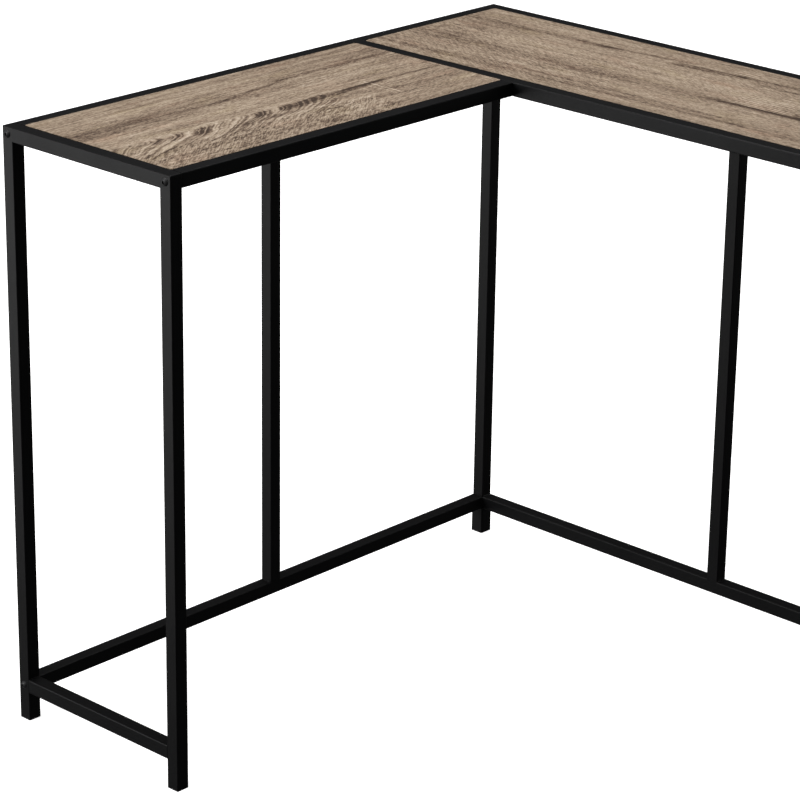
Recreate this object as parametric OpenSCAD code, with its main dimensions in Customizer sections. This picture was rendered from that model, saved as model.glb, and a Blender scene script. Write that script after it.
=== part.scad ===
// Corner desk: two narrow arms meet in an L. Square steel tube carries flush laminate boards.
// The outer wall corner is at -X, +Y. The left arm runs from it along -Y, the right arm along +X.
// The origin is on the floor, in the middle of the square that the two arms span.

/* [Overall size] */
// Height from the floor to the worktop
desk_height = 813; // [600:1:1100]
// Length of the left arm along its wall, outer face to outer face
left_arm_length = 914; // [700:1:1600]
// Length of the right arm along its wall, outer face to outer face
right_arm_length = 914; // [700:1:1600]
// Depth of the left arm, from its wall side to its open side
left_arm_depth = 305; // [220:1:450]
// Depth of the right arm, from its wall side to its open side
right_arm_depth = 305; // [220:1:450]

/* [Steel tube] */
// Outer width of the square tube
tube_width = 19; // [15:0.5:30]
// Wall of the square tube
tube_wall = 1; // [0.8:0.1:1.5]
// Outer corner radius of the square tube
tube_corner_radius = 1.2; // [0.6:0.1:2]
// Thickness of the cap plate that closes the top of a leg
cap_thickness = 1.2; // [0.8:0.1:3]

/* [Lower frame] */
// Gap between the floor and the underside of the lower stretchers
stretcher_clearance = 40; // [25:1:150]

/* [Boards] */
// Thickness of the boards
board_thickness = 15; // [10:0.5:16]
// Gap between a board's edge and the tube next to it
board_gap = 0.5; // [0.3:0.1:2]
// Corner radius of the boards
board_corner_radius = 3; // [1:0.5:8]

/* [Board supports] */
// Thickness of the welded support tabs
tab_thickness = 1.5; // [1:0.1:2]
// Width of a tab along the rail
tab_length = 26; // [16:1:40]
// Reach of a tab from the rail's side
tab_reach = 17; // [14:1:30]
// Radius of a tab's free corners
tab_corner_radius = 4; // [1:0.5:6]
// Distance from the rail's side to the screw
tab_hole_inset = 9; // [7:0.5:9.5]
// Tabs along each side of the left board
left_side_tabs = 2; // [2:1:4]
// Tabs along each side of the right board
right_side_tabs = 3; // [2:1:5]

/* [Board screws] */
// Diameter of the screw's shank
screw_diameter = 3.5; // [3:0.1:4.5]
// Depth that the screw goes into the board
screw_bite = 8.5; // [6:0.5:9]
// Diameter of the screw's head
screw_head_diameter = 7; // [6:0.1:8.5]
// Height of the screw's head
screw_head_height = 2.2; // [1.6:0.1:2.4]
// Length across the cross recess in the screw's head
screw_recess = 3.6; // [2.5:0.1:4.5]

/* [Frame bolts] */
// Diameter of the bolt's shank
bolt_diameter = 6; // [5:0.1:8]
// Depth that the bolt goes into its insert
bolt_bite = 11; // [9:0.5:11.5]
// Diameter of the button head
bolt_head_diameter = 10.5; // [9.5:0.1:13]
// Height of the button head
bolt_head_height = 3.3; // [2.6:0.1:4.4]
// Width across flats of the hex socket
bolt_key = 4; // [3:0.5:5]
// Depth of the hex socket
bolt_key_depth = 2; // [1.2:0.1:2.4]
// Length of the threaded insert in the end of a rail
insert_length = 12; // [12:0.5:20]

/* [Feet] */
// Thickness of a foot under the end of its leg
foot_thickness = 2; // [1.5:0.1:6]
// Height of the plug that holds a foot in its leg
foot_plug_height = 14; // [8:1:24]
// Wall of the plug that holds a foot in its leg
foot_plug_wall = 2.4; // [1.5:0.1:4]
// Wall of the boot on the corner post
boot_wall = 1.1; // [0.8:0.1:3]

/* [Clearances] */
// Radial clearance of a bolt or screw in a plain hole
hole_clearance = 0.3; // [0.2:0.05:1]
// Radial clearance of a bolt or screw in its thread
thread_clearance = 0.05; // [0.02:0.01:0.1]
// Gap round each side of a plug or insert inside a tube
plug_clearance = 0.1; // [0.1:0.05:0.4]
// Gap between the boot and the post or the stretchers
boot_clearance = 0.1; // [0.05:0.05:0.5]

/* [Hidden] */
$fn = 48;
steel = "#1b1b1d";
laminate = "#9c8b7a";
plastic = "#101011";
zinc = "#b9bcc0";
black_oxide = "#242426";

// Outer faces of the frame and lower edges of the inner rails
wall_x = -right_arm_length / 2;
end_x = right_arm_length / 2;
wall_y = left_arm_length / 2;
end_y = -left_arm_length / 2;
inner_x = wall_x + left_arm_depth - tube_width;
inner_y = wall_y - right_arm_depth;

// Heights of the rails, the lower stretchers and the bolts in them
rail_z = desk_height - tube_width;
stretcher_z = stretcher_clearance;
stretcher_top_z = stretcher_z + tube_width;
rail_bolt_z = rail_z + tube_width / 2;
stretcher_bolt_z = stretcher_z + tube_width / 2;

// Inside of the tube
bore_width = tube_width - 2 * tube_wall;
bore_corner_radius = max(tube_corner_radius - tube_wall, 0.2);
plug_width = bore_width - 2 * plug_clearance;

// Lengths of the tubes between their neighbours
leg_length = desk_height - foot_thickness - cap_thickness;
left_wall_run = left_arm_length - 2 * tube_width;
right_wall_run = right_arm_length - 2 * tube_width;
left_inner_run = left_arm_length - tube_width - right_arm_depth;
left_end_run = left_arm_depth - 2 * tube_width;
right_end_run = right_arm_depth - 2 * tube_width;
upright_run = rail_z - stretcher_top_z;

// Corners of the legs
left_wall_leg_at = [wall_x, end_y];
left_inner_leg_at = [inner_x, end_y];
corner_post_at = [wall_x, wall_y - tube_width];
right_wall_leg_at = [end_x - tube_width, wall_y - tube_width];
right_inner_leg_at = [end_x - tube_width, inner_y];
leg_spots = [left_wall_leg_at, left_inner_leg_at, right_wall_leg_at, right_inner_leg_at];

// Boards: the space inside the rails, less the gap on each side
board_z = desk_height - board_thickness;
left_board_size = [left_end_run - 2 * board_gap, left_inner_run - 2 * board_gap];
left_board_at = [wall_x + tube_width + board_gap, end_y + tube_width + board_gap];
right_board_size = [right_wall_run - 2 * board_gap, right_end_run - 2 * board_gap];
right_board_at = [wall_x + tube_width + board_gap, inner_y + tube_width + board_gap];

// Bolts
bolt_radius = bolt_diameter / 2;
bolt_tip_chamfer = 0.8;
long_bolt_length = tube_width + bolt_bite;
short_bolt_length = tube_wall + bolt_bite;
hex_corner_ratio = cos(30);
cut_margin = 1;

// Middle of each rail that a bolt reaches along Y and along X
half_tube = tube_width / 2;
left_wall_axis_x = wall_x + half_tube;
left_inner_axis_x = inner_x + half_tube;
right_wall_axis_y = wall_y - half_tube;
right_inner_axis_y = inner_y + half_tube;

// A rectangle with round corners, its low corner at the origin
module rounded_rect(size_x, size_y, radius) {
  translate([radius, 0]) square([size_x - 2 * radius, size_y]);
  translate([0, radius]) square([size_x, size_y - 2 * radius]);
  for (x = [radius, size_x - radius], y = [radius, size_y - radius])
    translate([x, y]) circle(radius);
}

module tube_section() {
  difference() {
    rounded_rect(tube_width, tube_width, tube_corner_radius);
    translate([tube_wall, tube_wall]) rounded_rect(bore_width, bore_width, bore_corner_radius);
  }
}

// A tube that runs along each axis from its low corner
module tube_along_x(at, run) {
  translate(at) rotate([90, 0, 90]) linear_extrude(run) tube_section();
}

module tube_along_y(at, run) {
  translate([at[0], at[1] + run, at[2]]) rotate([90, 0, 0]) linear_extrude(run) tube_section();
}

module tube_along_z(at, run) {
  translate(at) linear_extrude(run) tube_section();
}

// A leg stands on its foot and ends under its cap plate
module leg(spot) {
  tube_along_z([spot[0], spot[1], foot_thickness], leg_length);
}

// Cutters for the bolt holes. Each starts outside the tube's low face.
module hole_along_x(x, y, z, radius, run) {
  translate([x - cut_margin, y, z]) rotate([0, 90, 0]) cylinder(r = radius, h = run + 2 * cut_margin);
}

module hole_along_y(x, y, z, radius, run) {
  translate([x, y - cut_margin, z]) rotate([-90, 0, 0]) cylinder(r = radius, h = run + 2 * cut_margin);
}

module bolt_hole_along_x(x, y, z) {
  hole_along_x(x, y, z, bolt_radius + hole_clearance, tube_width);
}

module bolt_hole_along_y(x, y, z) {
  hole_along_y(x, y, z, bolt_radius + hole_clearance, tube_width);
}

// Button head bolt. Its head points along +Z and bears on the plane z = 0.
module bolt(run) {
  dome_radius = (pow(bolt_head_diameter / 2, 2) + pow(bolt_head_height, 2)) / (2 * bolt_head_height);
  difference() {
    union() {
      intersection() {
        translate([0, 0, bolt_head_height - dome_radius]) sphere(dome_radius);
        cylinder(d = bolt_head_diameter + cut_margin, h = bolt_head_height + cut_margin);
      }
      translate([0, 0, bolt_tip_chamfer - run]) cylinder(r = bolt_radius, h = run);
      translate([0, 0, -run])
        cylinder(r1 = bolt_radius - bolt_tip_chamfer, r2 = bolt_radius, h = bolt_tip_chamfer);
    }
    translate([0, 0, bolt_head_height - bolt_key_depth])
      cylinder(d = bolt_key / hex_corner_ratio, h = bolt_key_depth + cut_margin, $fn = 6);
  }
}

// Threaded insert: a block in the end of a tube. It fills the plane z = 0 to its length.
module insert() {
  difference() {
    translate([-plug_width / 2, -plug_width / 2, 0]) cube([plug_width, plug_width, insert_length]);
    translate([0, 0, -cut_margin])
      cylinder(r = bolt_radius + thread_clearance, h = insert_length + 2 * cut_margin);
  }
}

// Inserts that start at a rail's end and go into it
module insert_towards_x(x, y, z, way) {
  translate([x, y, z]) rotate([0, 90 * way, 0]) insert();
}

module insert_towards_y(x, y, z, way) {
  translate([x, y, z]) rotate([-90 * way, 0, 0]) insert();
}

// Foot: a square base under the tube with a hollow plug that stands in it
module foot() {
  plug_inset = (tube_width - plug_width) / 2;
  hollow_width = plug_width - 2 * foot_plug_wall;
  linear_extrude(foot_thickness) rounded_rect(tube_width, tube_width, tube_corner_radius);
  translate([plug_inset, plug_inset, foot_thickness - 0.5]) difference() {
    cube([plug_width, plug_width, foot_plug_height + 0.5]);
    translate([foot_plug_wall, foot_plug_wall, 0.5])
      cube([hollow_width, hollow_width, foot_plug_height + cut_margin]);
  }
}

// Support tab: it lies along +X from the rail's side and is centred on y = 0
module tab() {
  round_at_x = tab_reach - tab_corner_radius;
  round_at_y = tab_length / 2 - tab_corner_radius;
  linear_extrude(tab_thickness) difference() {
    union() {
      translate([0, -tab_length / 2]) square([round_at_x, tab_length]);
      translate([0, -round_at_y]) square([tab_reach, 2 * round_at_y]);
      for (y = [-round_at_y, round_at_y]) translate([round_at_x, y]) circle(tab_corner_radius);
    }
    translate([tab_hole_inset, 0]) circle(screw_diameter / 2 + hole_clearance);
  }
}

// Pan head screw under a tab. It points up and its head bears on the plane z = 0.
module screw() {
  recess_depth = screw_head_height * 0.6;
  recess_width = screw_recess / 4;
  difference() {
    translate([0, 0, -screw_head_height]) cylinder(d = screw_head_diameter, h = screw_head_height);
    for (turn = [0, 90]) rotate([0, 0, turn])
      translate([-screw_recess / 2, -recess_width / 2, -screw_head_height - cut_margin])
        cube([screw_recess, recess_width, recess_depth + cut_margin]);
  }
  cylinder(d = screw_diameter, h = tab_thickness + screw_bite - screw_diameter);
  translate([0, 0, tab_thickness + screw_bite - screw_diameter])
    cylinder(d1 = screw_diameter, d2 = 0.6, h = screw_diameter);
}

// Places its children at every tab round a board. The space inside the rails starts at
// the low corner and has the given size; each tab points inwards.
module at_tabs(corner, size, side_tabs) {
  for (i = [0 : side_tabs - 1]) {
    along = (i + 0.5) / side_tabs;
    if (size[1] > size[0]) {
      translate([corner[0], corner[1] + along * size[1]]) children();
      translate([corner[0] + size[0], corner[1] + along * size[1]]) rotate([0, 0, 180]) children();
    } else {
      translate([corner[0] + along * size[0], corner[1]]) rotate([0, 0, 90]) children();
      translate([corner[0] + along * size[0], corner[1] + size[1]]) rotate([0, 0, -90]) children();
    }
  }
  if (size[1] > size[0]) {
    translate([corner[0] + size[0] / 2, corner[1]]) rotate([0, 0, 90]) children();
    translate([corner[0] + size[0] / 2, corner[1] + size[1]]) rotate([0, 0, -90]) children();
  } else {
    translate([corner[0], corner[1] + size[1] / 2]) children();
    translate([corner[0] + size[0], corner[1] + size[1] / 2]) rotate([0, 0, 180]) children();
  }
}

module at_left_tabs() {
  at_tabs([wall_x + tube_width, end_y + tube_width], [left_end_run, left_inner_run], left_side_tabs)
    children();
}

module at_right_tabs() {
  at_tabs([wall_x + tube_width, inner_y + tube_width], [right_wall_run, right_end_run], right_side_tabs)
    children();
}

// Pilot hole for a screw, and the screw, in the place of a tab's hole
module pilot_hole() {
  translate([tab_hole_inset, 0, board_z - cut_margin])
    cylinder(r = screw_diameter / 2 + thread_clearance, h = screw_bite + thread_clearance + cut_margin);
}

module placed_screw() {
  translate([tab_hole_inset, 0, board_z - tab_thickness]) screw();
}

module placed_tab() {
  translate([0, 0, board_z - tab_thickness]) tab();
}

// Left end frame: two legs, a top rail and a low stretcher, welded
module left_wall_leg() {
  color(steel) difference() {
    leg(left_wall_leg_at);
    for (z = [rail_bolt_z, stretcher_bolt_z]) bolt_hole_along_y(left_wall_axis_x, end_y, z);
  }
}

module left_inner_leg() {
  color(steel) difference() {
    leg(left_inner_leg_at);
    bolt_hole_along_y(left_inner_axis_x, end_y, rail_bolt_z);
  }
}

module left_end_rail() {
  color(steel) tube_along_x([wall_x + tube_width, end_y, rail_z], left_end_run);
}

module left_end_stretcher() {
  color(steel) tube_along_x([wall_x + tube_width, end_y, stretcher_z], left_end_run);
}

// Left back frame: top rail, low stretcher and upright, welded, bolted at both ends
module left_back_rail() {
  color(steel) difference() {
    tube_along_y([wall_x, end_y + tube_width, rail_z], left_wall_run);
    bolt_hole_along_x(wall_x, right_inner_axis_y, rail_bolt_z);
  }
}

module left_lower_stretcher() {
  color(steel) tube_along_y([wall_x, end_y + tube_width, stretcher_z], left_wall_run);
}

module left_mid_upright() {
  color(steel) tube_along_z([wall_x, -half_tube, stretcher_top_z], upright_run);
}

module left_inner_rail() {
  color(steel) tube_along_y([inner_x, end_y + tube_width, rail_z], left_inner_run);
}

// Right back frame: corner post, top rail, low stretcher and upright, welded
module corner_post() {
  color(steel) difference() {
    leg(corner_post_at);
    for (z = [rail_bolt_z, stretcher_bolt_z])
      bolt_hole_along_y(left_wall_axis_x, wall_y - tube_width, z);
  }
}

module right_back_rail() {
  color(steel) tube_along_x([wall_x + tube_width, wall_y - tube_width, rail_z], right_wall_run);
}

module right_lower_stretcher() {
  color(steel) tube_along_x([wall_x + tube_width, wall_y - tube_width, stretcher_z], right_wall_run);
}

module right_mid_upright() {
  color(steel) tube_along_z([-half_tube, wall_y - tube_width, stretcher_top_z], upright_run);
}

// The cross rail runs on past the left arm to its back rail. The wide hole lets a bolt's head
// into the tube, where it bears on the far wall.
module cross_rail() {
  color(steel) difference() {
    tube_along_x([wall_x + tube_width, inner_y, rail_z], right_wall_run);
    hole_along_y(left_inner_axis_x, inner_y, rail_bolt_z, bolt_radius + hole_clearance, tube_wall);
    hole_along_y(
      left_inner_axis_x, inner_y + tube_width - tube_wall, rail_bolt_z,
      bolt_head_diameter / 2 + hole_clearance, tube_wall
    );
  }
}

// Right end frame: two legs, a top rail and a low stretcher, welded
module right_wall_leg() {
  color(steel) difference() {
    leg(right_wall_leg_at);
    for (z = [rail_bolt_z, stretcher_bolt_z])
      bolt_hole_along_x(end_x - tube_width, right_wall_axis_y, z);
  }
}

module right_inner_leg() {
  color(steel) difference() {
    leg(right_inner_leg_at);
    bolt_hole_along_x(end_x - tube_width, right_inner_axis_y, rail_bolt_z);
  }
}

module right_end_rail() {
  color(steel) tube_along_y([end_x - tube_width, inner_y + tube_width, rail_z], right_end_run);
}

module right_end_stretcher() {
  color(steel) tube_along_y([end_x - tube_width, inner_y + tube_width, stretcher_z], right_end_run);
}

// Plates, feet and the boot at the ends of the legs
module leg_caps() {
  color(steel) for (spot = concat(leg_spots, [corner_post_at]))
    translate([spot[0], spot[1], desk_height - cap_thickness])
      linear_extrude(cap_thickness) rounded_rect(tube_width, tube_width, tube_corner_radius);
}

module leg_feet() {
  color(plastic) for (spot = leg_spots) translate([spot[0], spot[1], 0]) foot();
}

module corner_boot() {
  outer_width = tube_width + 2 * (boot_wall + boot_clearance);
  pocket_width = tube_width + 2 * boot_clearance;
  outset = boot_wall + boot_clearance;
  color(plastic) translate([corner_post_at[0] - outset, corner_post_at[1] - outset, 0]) difference() {
    linear_extrude(stretcher_clearance - boot_clearance)
      rounded_rect(outer_width, outer_width, tube_corner_radius + outset);
    translate([boot_wall, boot_wall, foot_thickness]) linear_extrude(stretcher_clearance)
      rounded_rect(pocket_width, pocket_width, tube_corner_radius + boot_clearance);
  }
}

// Boards, flush with the top of the frame
module left_board() {
  color(laminate) difference() {
    translate([left_board_at[0], left_board_at[1], board_z]) linear_extrude(board_thickness)
      rounded_rect(left_board_size[0], left_board_size[1], board_corner_radius);
    at_left_tabs() pilot_hole();
  }
}

module right_board() {
  color(laminate) difference() {
    translate([right_board_at[0], right_board_at[1], board_z]) linear_extrude(board_thickness)
      rounded_rect(right_board_size[0], right_board_size[1], board_corner_radius);
    at_right_tabs() pilot_hole();
  }
}

module left_board_tabs() {
  color(steel) at_left_tabs() placed_tab();
}

module right_board_tabs() {
  color(steel) at_right_tabs() placed_tab();
}

module left_board_screws() {
  color(zinc) at_left_tabs() placed_screw();
}

module right_board_screws() {
  color(zinc) at_right_tabs() placed_screw();
}

// Bolts through the legs into the rails of each arm
module left_end_bolts() {
  color(black_oxide) {
    for (z = [rail_bolt_z, stretcher_bolt_z])
      translate([left_wall_axis_x, end_y, z]) rotate([90, 0, 0]) bolt(long_bolt_length);
    translate([left_inner_axis_x, end_y, rail_bolt_z]) rotate([90, 0, 0]) bolt(long_bolt_length);
  }
}

module right_end_bolts() {
  color(black_oxide) {
    for (z = [rail_bolt_z, stretcher_bolt_z])
      translate([end_x, right_wall_axis_y, z]) rotate([0, 90, 0]) bolt(long_bolt_length);
    translate([end_x, right_inner_axis_y, rail_bolt_z]) rotate([0, 90, 0]) bolt(long_bolt_length);
  }
}

module corner_post_bolts() {
  color(black_oxide) for (z = [rail_bolt_z, stretcher_bolt_z])
    translate([left_wall_axis_x, wall_y, z]) rotate([-90, 0, 0]) bolt(long_bolt_length);
}

module cross_rail_bolt() {
  color(black_oxide) translate([wall_x, right_inner_axis_y, rail_bolt_z]) rotate([0, -90, 0])
    bolt(long_bolt_length);
}

module inner_corner_bolt() {
  color(black_oxide) translate([left_inner_axis_x, inner_y + tube_wall, rail_bolt_z])
    rotate([-90, 0, 0]) bolt(short_bolt_length);
}

// Threaded inserts welded into the rail ends that a bolt reaches
module left_rail_inserts() {
  color(zinc) {
    for (z = [rail_bolt_z, stretcher_bolt_z]) {
      insert_towards_y(left_wall_axis_x, end_y + tube_width, z, 1);
      insert_towards_y(left_wall_axis_x, wall_y - tube_width, z, -1);
    }
    insert_towards_y(left_inner_axis_x, end_y + tube_width, rail_bolt_z, 1);
    insert_towards_y(left_inner_axis_x, inner_y, rail_bolt_z, -1);
  }
}

module right_rail_inserts() {
  color(zinc) {
    for (z = [rail_bolt_z, stretcher_bolt_z])
      insert_towards_x(end_x - tube_width, right_wall_axis_y, z, -1);
    insert_towards_x(end_x - tube_width, right_inner_axis_y, rail_bolt_z, -1);
    insert_towards_x(wall_x + tube_width, right_inner_axis_y, rail_bolt_z, 1);
  }
}

left_wall_leg();
left_inner_leg();
left_end_rail();
left_end_stretcher();
left_back_rail();
left_inner_rail();
left_lower_stretcher();
left_mid_upright();
corner_post();
right_wall_leg();
right_inner_leg();
right_end_rail();
right_end_stretcher();
right_back_rail();
cross_rail();
right_lower_stretcher();
right_mid_upright();
leg_caps();
leg_feet();
corner_boot();
left_board();
right_board();
left_board_tabs();
right_board_tabs();
left_board_screws();
right_board_screws();
left_end_bolts();
right_end_bolts();
corner_post_bolts();
cross_rail_bolt();
inner_corner_bolt();
left_rail_inserts();
right_rail_inserts();
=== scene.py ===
"""Corner desk: finishes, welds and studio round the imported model.

Each sub-assembly is a class that builds its meshes and dresses its pieces. Each finish is a
frozen dataclass that makes one procedural material. Sizes are in metres unless a name or a
docstring says mm.
"""

import logging
import math
from dataclasses import dataclass, field
from enum import Enum
from typing import Optional, Sequence, Union

import bmesh
import bpy
from mathutils import Matrix, Vector

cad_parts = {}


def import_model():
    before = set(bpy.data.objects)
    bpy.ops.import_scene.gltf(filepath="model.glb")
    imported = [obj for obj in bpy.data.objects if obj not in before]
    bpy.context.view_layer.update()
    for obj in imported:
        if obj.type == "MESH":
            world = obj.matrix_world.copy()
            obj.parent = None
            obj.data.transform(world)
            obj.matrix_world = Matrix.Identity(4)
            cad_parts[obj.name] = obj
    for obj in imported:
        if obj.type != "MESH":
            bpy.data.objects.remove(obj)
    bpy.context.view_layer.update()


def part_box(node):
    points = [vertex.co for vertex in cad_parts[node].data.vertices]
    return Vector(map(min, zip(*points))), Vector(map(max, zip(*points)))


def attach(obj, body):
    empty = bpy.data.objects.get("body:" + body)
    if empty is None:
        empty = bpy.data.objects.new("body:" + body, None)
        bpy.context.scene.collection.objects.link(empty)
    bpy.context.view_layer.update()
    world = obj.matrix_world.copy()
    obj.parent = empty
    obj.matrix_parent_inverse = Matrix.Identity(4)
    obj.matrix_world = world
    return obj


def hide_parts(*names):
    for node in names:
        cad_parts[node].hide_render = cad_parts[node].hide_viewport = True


LOG = logging.getLogger("corner_desk")
ROOT = "root"
MM = 0.001
STEEL_SLOT = "powder_coated_steel"
MERGE_DISTANCE = 0.002 * MM

Colour = tuple[float, float, float]
Number = Union[float, "Value"]


class Axis(Enum):
    """A row axis, by its index."""

    X = 0
    Y = 1
    Z = 2

    @property
    def vector(self) -> Vector:
        """The axis as a unit vector."""
        return Vector([1.0 if i == self.value else 0.0 for i in range(3)])


class Blend(Enum):
    """How a Mix node joins two colours."""

    MIX = "MIX"
    MULTIPLY = "MULTIPLY"


def linear(red: int, green: int, blue: int) -> Colour:
    """Turns a display colour into the shader's linear one.

    Args:
        red: Red from 0 to 255.
        green: Green from 0 to 255.
        blue: Blue from 0 to 255.

    Returns:
        The linear colour.
    """

    def channel(value: int) -> float:
        """Turns one channel linear, by the standard curve."""
        share = value / 255
        return share / 12.92 if share <= 0.04045 else ((share + 0.055) / 1.055) ** 2.4

    return channel(red), channel(green), channel(blue)


# -------- shader expressions


class Shader:
    """A material's node tree, with one method that makes every node."""

    def __init__(self, name: str) -> None:
        """Makes an empty material.

        Args:
            name: Name of the material.
        """
        self.material = bpy.data.materials.new(name)
        self.material.use_nodes = True
        self.tree = self.material.node_tree
        self.tree.nodes.clear()

    def node(self, kind: str, settings: Optional[dict] = None, **inputs: object) -> bpy.types.Node:
        """Adds a node, sets it up and fills its sockets.

        Args:
            kind: The node's type, without the ShaderNode prefix.
            settings: Properties, set before the sockets are filled. A ramp's stops are pairs of
                a position and a linear colour, under the key "stops".
            **inputs: Values or links by socket name, with _ for a space, or _0 for a position.

        Returns:
            The new node.
        """
        made = self.tree.nodes.new("ShaderNode" + kind)
        for key, value in (settings or {}).items():
            if key == "stops":
                self.set_stops(made.color_ramp.elements, value)
            else:
                setattr(made, key, value)
        for key, value in inputs.items():
            position = key.lstrip("_")
            socket = made.inputs[int(position) if position.isdigit() else key.replace("_", " ")]
            self.fill(socket, value)
        return made

    def fill(self, socket: bpy.types.NodeSocket, value: object) -> None:
        """Links a wrapped or bare output to a socket, or sets the socket's own value.

        Args:
            socket: The input to fill.
            value: A Value, an output socket, a number or a tuple.
        """
        if isinstance(value, Value):
            value = value.socket
        if isinstance(value, bpy.types.NodeSocket):
            self.tree.links.new(value, socket)
        elif isinstance(value, tuple) and len(value) == 3 and socket.type == "RGBA":
            socket.default_value = (*value, 1.0)
        else:
            socket.default_value = value

    def set_stops(
        self, elements: bpy.types.ColorRampElements, stops: Sequence[tuple[float, Colour]]
    ) -> None:
        """Sets a ramp's stops.

        Args:
            elements: The ramp's stops, of which it has two at first.
            stops: Positions and linear colours.
        """
        while len(elements) < len(stops):
            elements.new(1.0)
        for element, (position, colour) in zip(elements, stops):
            element.position = position
            element.color = (*colour, 1.0)

    def blend(
        self, factor: Number, first: object, second: object, how: Blend = Blend.MIX
    ) -> bpy.types.NodeSocket:
        """Mixes two colours or links by the second one's share and returns the output."""
        settings = {"data_type": "RGBA", "blend_type": how.value, "clamp_result": True}
        # A Mix node has sockets for each kind of data. Inputs 6 and 7 and output 2 are colours.
        return self.node("Mix", settings, _0=factor, _6=first, _7=second).outputs[2]

    def place(self) -> tuple["Value", "Value", "Value"]:
        """Reads the object coordinates.

        Returns:
            The three coordinates, in metres.
        """
        coordinates = self.node("TexCoord").outputs["Object"]
        split = self.node("SeparateXYZ", _0=coordinates)
        return tuple(Value(self, output) for output in split.outputs)

    def vector(self, x: Number, y: Number, z: Number = 0.0) -> bpy.types.NodeSocket:
        """Joins three numbers into a vector and returns its output."""
        return self.node("CombineXYZ", _0=x, _1=y, _2=z).outputs[0]

    def noise(
        self, where: bpy.types.NodeSocket, detail: float = 2.0, rough: float = 0.5
    ) -> "Value":
        """Samples fractal noise.

        Args:
            where: Coordinates, scaled so that one unit is one noise cell.
            detail: Number of octaves.
            rough: Share that each octave keeps.

        Returns:
            A number about 0 that stays between -0.5 and 0.5.
        """
        made = self.node("TexNoise", {"normalize": True}, Vector=where, Scale=1.0, Detail=detail,
                         Roughness=rough)
        return Value(self, made.outputs[0]) - 0.5

    def even_noise(
        self, place: Sequence["Value"], per_metre: float, detail: float = 2.0, rough: float = 0.5
    ) -> "Value":
        """Samples noise with the same number of cells to a metre along each axis."""
        where = self.vector(*[coordinate * per_metre for coordinate in place])
        return self.noise(where, detail, rough)

    def finish(self, surface: bpy.types.Node) -> bpy.types.Material:
        """Links the surface shader to the output and returns the material."""
        self.node("OutputMaterial", Surface=surface.outputs[0])
        return self.material


class Value:
    """A number in a shader, so that maths on it is written as a Python expression."""

    def __init__(self, shader: Shader, socket: bpy.types.NodeSocket) -> None:
        """Wraps an output socket of a shader's tree."""
        self.shader = shader
        self.socket = socket

    def math(self, operation: str, *others: Number, first: Optional[Number] = None) -> "Value":
        """Adds a Math node.

        Args:
            operation: The node's operation.
            *others: Operands after this number.
            first: An operand that comes before this number.

        Returns:
            The result.
        """
        operands = [self, *others] if first is None else [first, self]
        inputs = {f"_{i}": operand for i, operand in enumerate(operands)}
        made = self.shader.node("Math", {"operation": operation}, **inputs)
        return Value(self.shader, made.outputs[0])

    def __add__(self, other: Number) -> "Value":
        """Adds."""
        return self.math("ADD", other)

    __radd__ = __add__

    def __sub__(self, other: Number) -> "Value":
        """Subtracts."""
        return self.math("SUBTRACT", other)

    def __rsub__(self, other: Number) -> "Value":
        """Subtracts this number from another."""
        return self.math("SUBTRACT", first=other)

    def __mul__(self, other: Number) -> "Value":
        """Multiplies."""
        return self.math("MULTIPLY", other)

    __rmul__ = __mul__

    def __truediv__(self, other: Number) -> "Value":
        """Divides."""
        return self.math("DIVIDE", other)

    def __pow__(self, other: Number) -> "Value":
        """Raises to a power."""
        return self.math("POWER", other)

    def __abs__(self) -> "Value":
        """Drops the sign."""
        return self.math("ABSOLUTE")

    def sine(self) -> "Value":
        """Sine of the number, in radians."""
        return self.math("SINE")

    def root(self) -> "Value":
        """Square root."""
        return self.math("SQRT")

    def least(self, other: Number) -> "Value":
        """The smaller of two numbers."""
        return self.math("MINIMUM", other)

    def most(self, other: Number) -> "Value":
        """The larger of two numbers."""
        return self.math("MAXIMUM", other)

    def step(self, low: float, high: float) -> "Value":
        """Rises smoothly from 0 at low to 1 at high; low may be the larger one.

        Args:
            low: Where the result is 0.
            high: Where the result is 1.

        Returns:
            A number from 0 to 1.
        """
        rising = low < high
        made = self.shader.node(
            "MapRange", {"interpolation_type": "SMOOTHSTEP"}, Value=self,
            From_Min=low if rising else high, From_Max=high if rising else low,
            To_Min=0.0 if rising else 1.0, To_Max=1.0 if rising else 0.0,
        )
        return Value(self.shader, made.outputs[0])

    def window(self, low: float, high: float, soft: float) -> "Value":
        """Is 1 between low and high and falls to 0 over the soft length outside them."""
        return self.step(low - soft, low) * self.step(high + soft, high)

    def bell(self, centre: Number, width: float) -> "Value":
        """A smooth bump of height 1 round the centre, gone at two widths from it."""
        return (abs(self - centre) / width).step(2.0, 0.0)


# -------- finishes


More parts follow.
